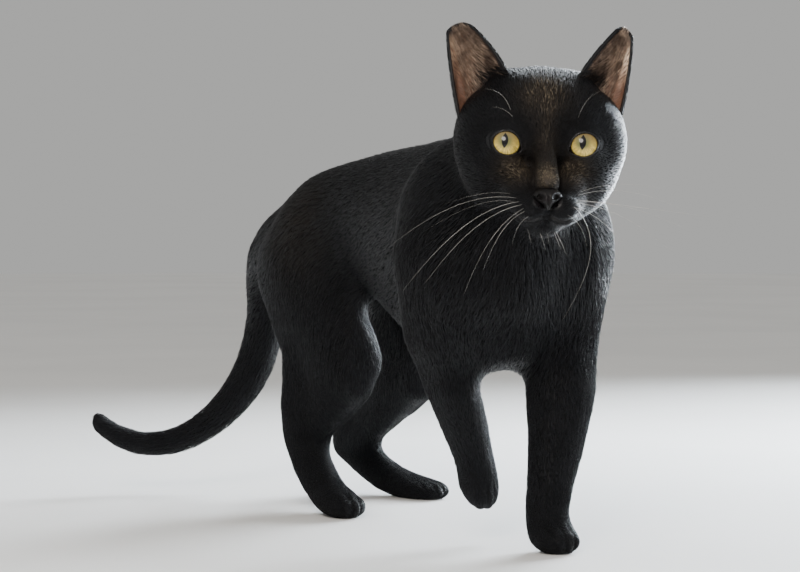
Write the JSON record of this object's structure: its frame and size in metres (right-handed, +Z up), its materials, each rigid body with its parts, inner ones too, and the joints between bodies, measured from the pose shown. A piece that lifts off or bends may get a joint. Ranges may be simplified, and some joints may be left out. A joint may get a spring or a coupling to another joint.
{
  "type": "cat",
  "caption": "Black short-haired domestic cat in a walking pose, right forepaw lifted, head turned a little to its right, tail held low, as a still life-size model.",
  "frame": {"origin": "the middle of the cat's bounding box in plan, on the floor under it", "axes": "+Z up, the cat walks towards -Y, and +X is its left side"},
  "size_m": [0.1898, 0.4582, 0.2766],
  "materials": {
    "fur": "short, glossy, jet-black coat",
    "ear": "thin, brownish-pink skin with fine hairs inside, black fur behind",
    "nose_leather": "black, finely pebbled, moist",
    "iris": "yellow-gold iris with an upright slit pupil under a clear wet cornea"
  },
  "bodies": {
    "root": {"head": "fur", "neck": "fur", "chest": "fur", "loin": "fur", "rump": "fur", "shoulder_left": "fur", "forearm_left": "fur", "forepaw_left": "fur", "shoulder_right": "fur", "forearm_right": "fur", "forepaw_right": "fur", "thigh_left": "fur", "shank_left": "fur", "hind_foot_left": "fur", "thigh_right": "fur", "shank_right": "fur", "hind_foot_right": "fur", "tail_base": "fur", "tail_middle": "fur", "tail_tip": "fur", "ear_left": "ear", "ear_right": "ear", "nose": "nose_leather", "eye_left": "iris", "eye_right": "iris"}
  },
  "joints": []
}
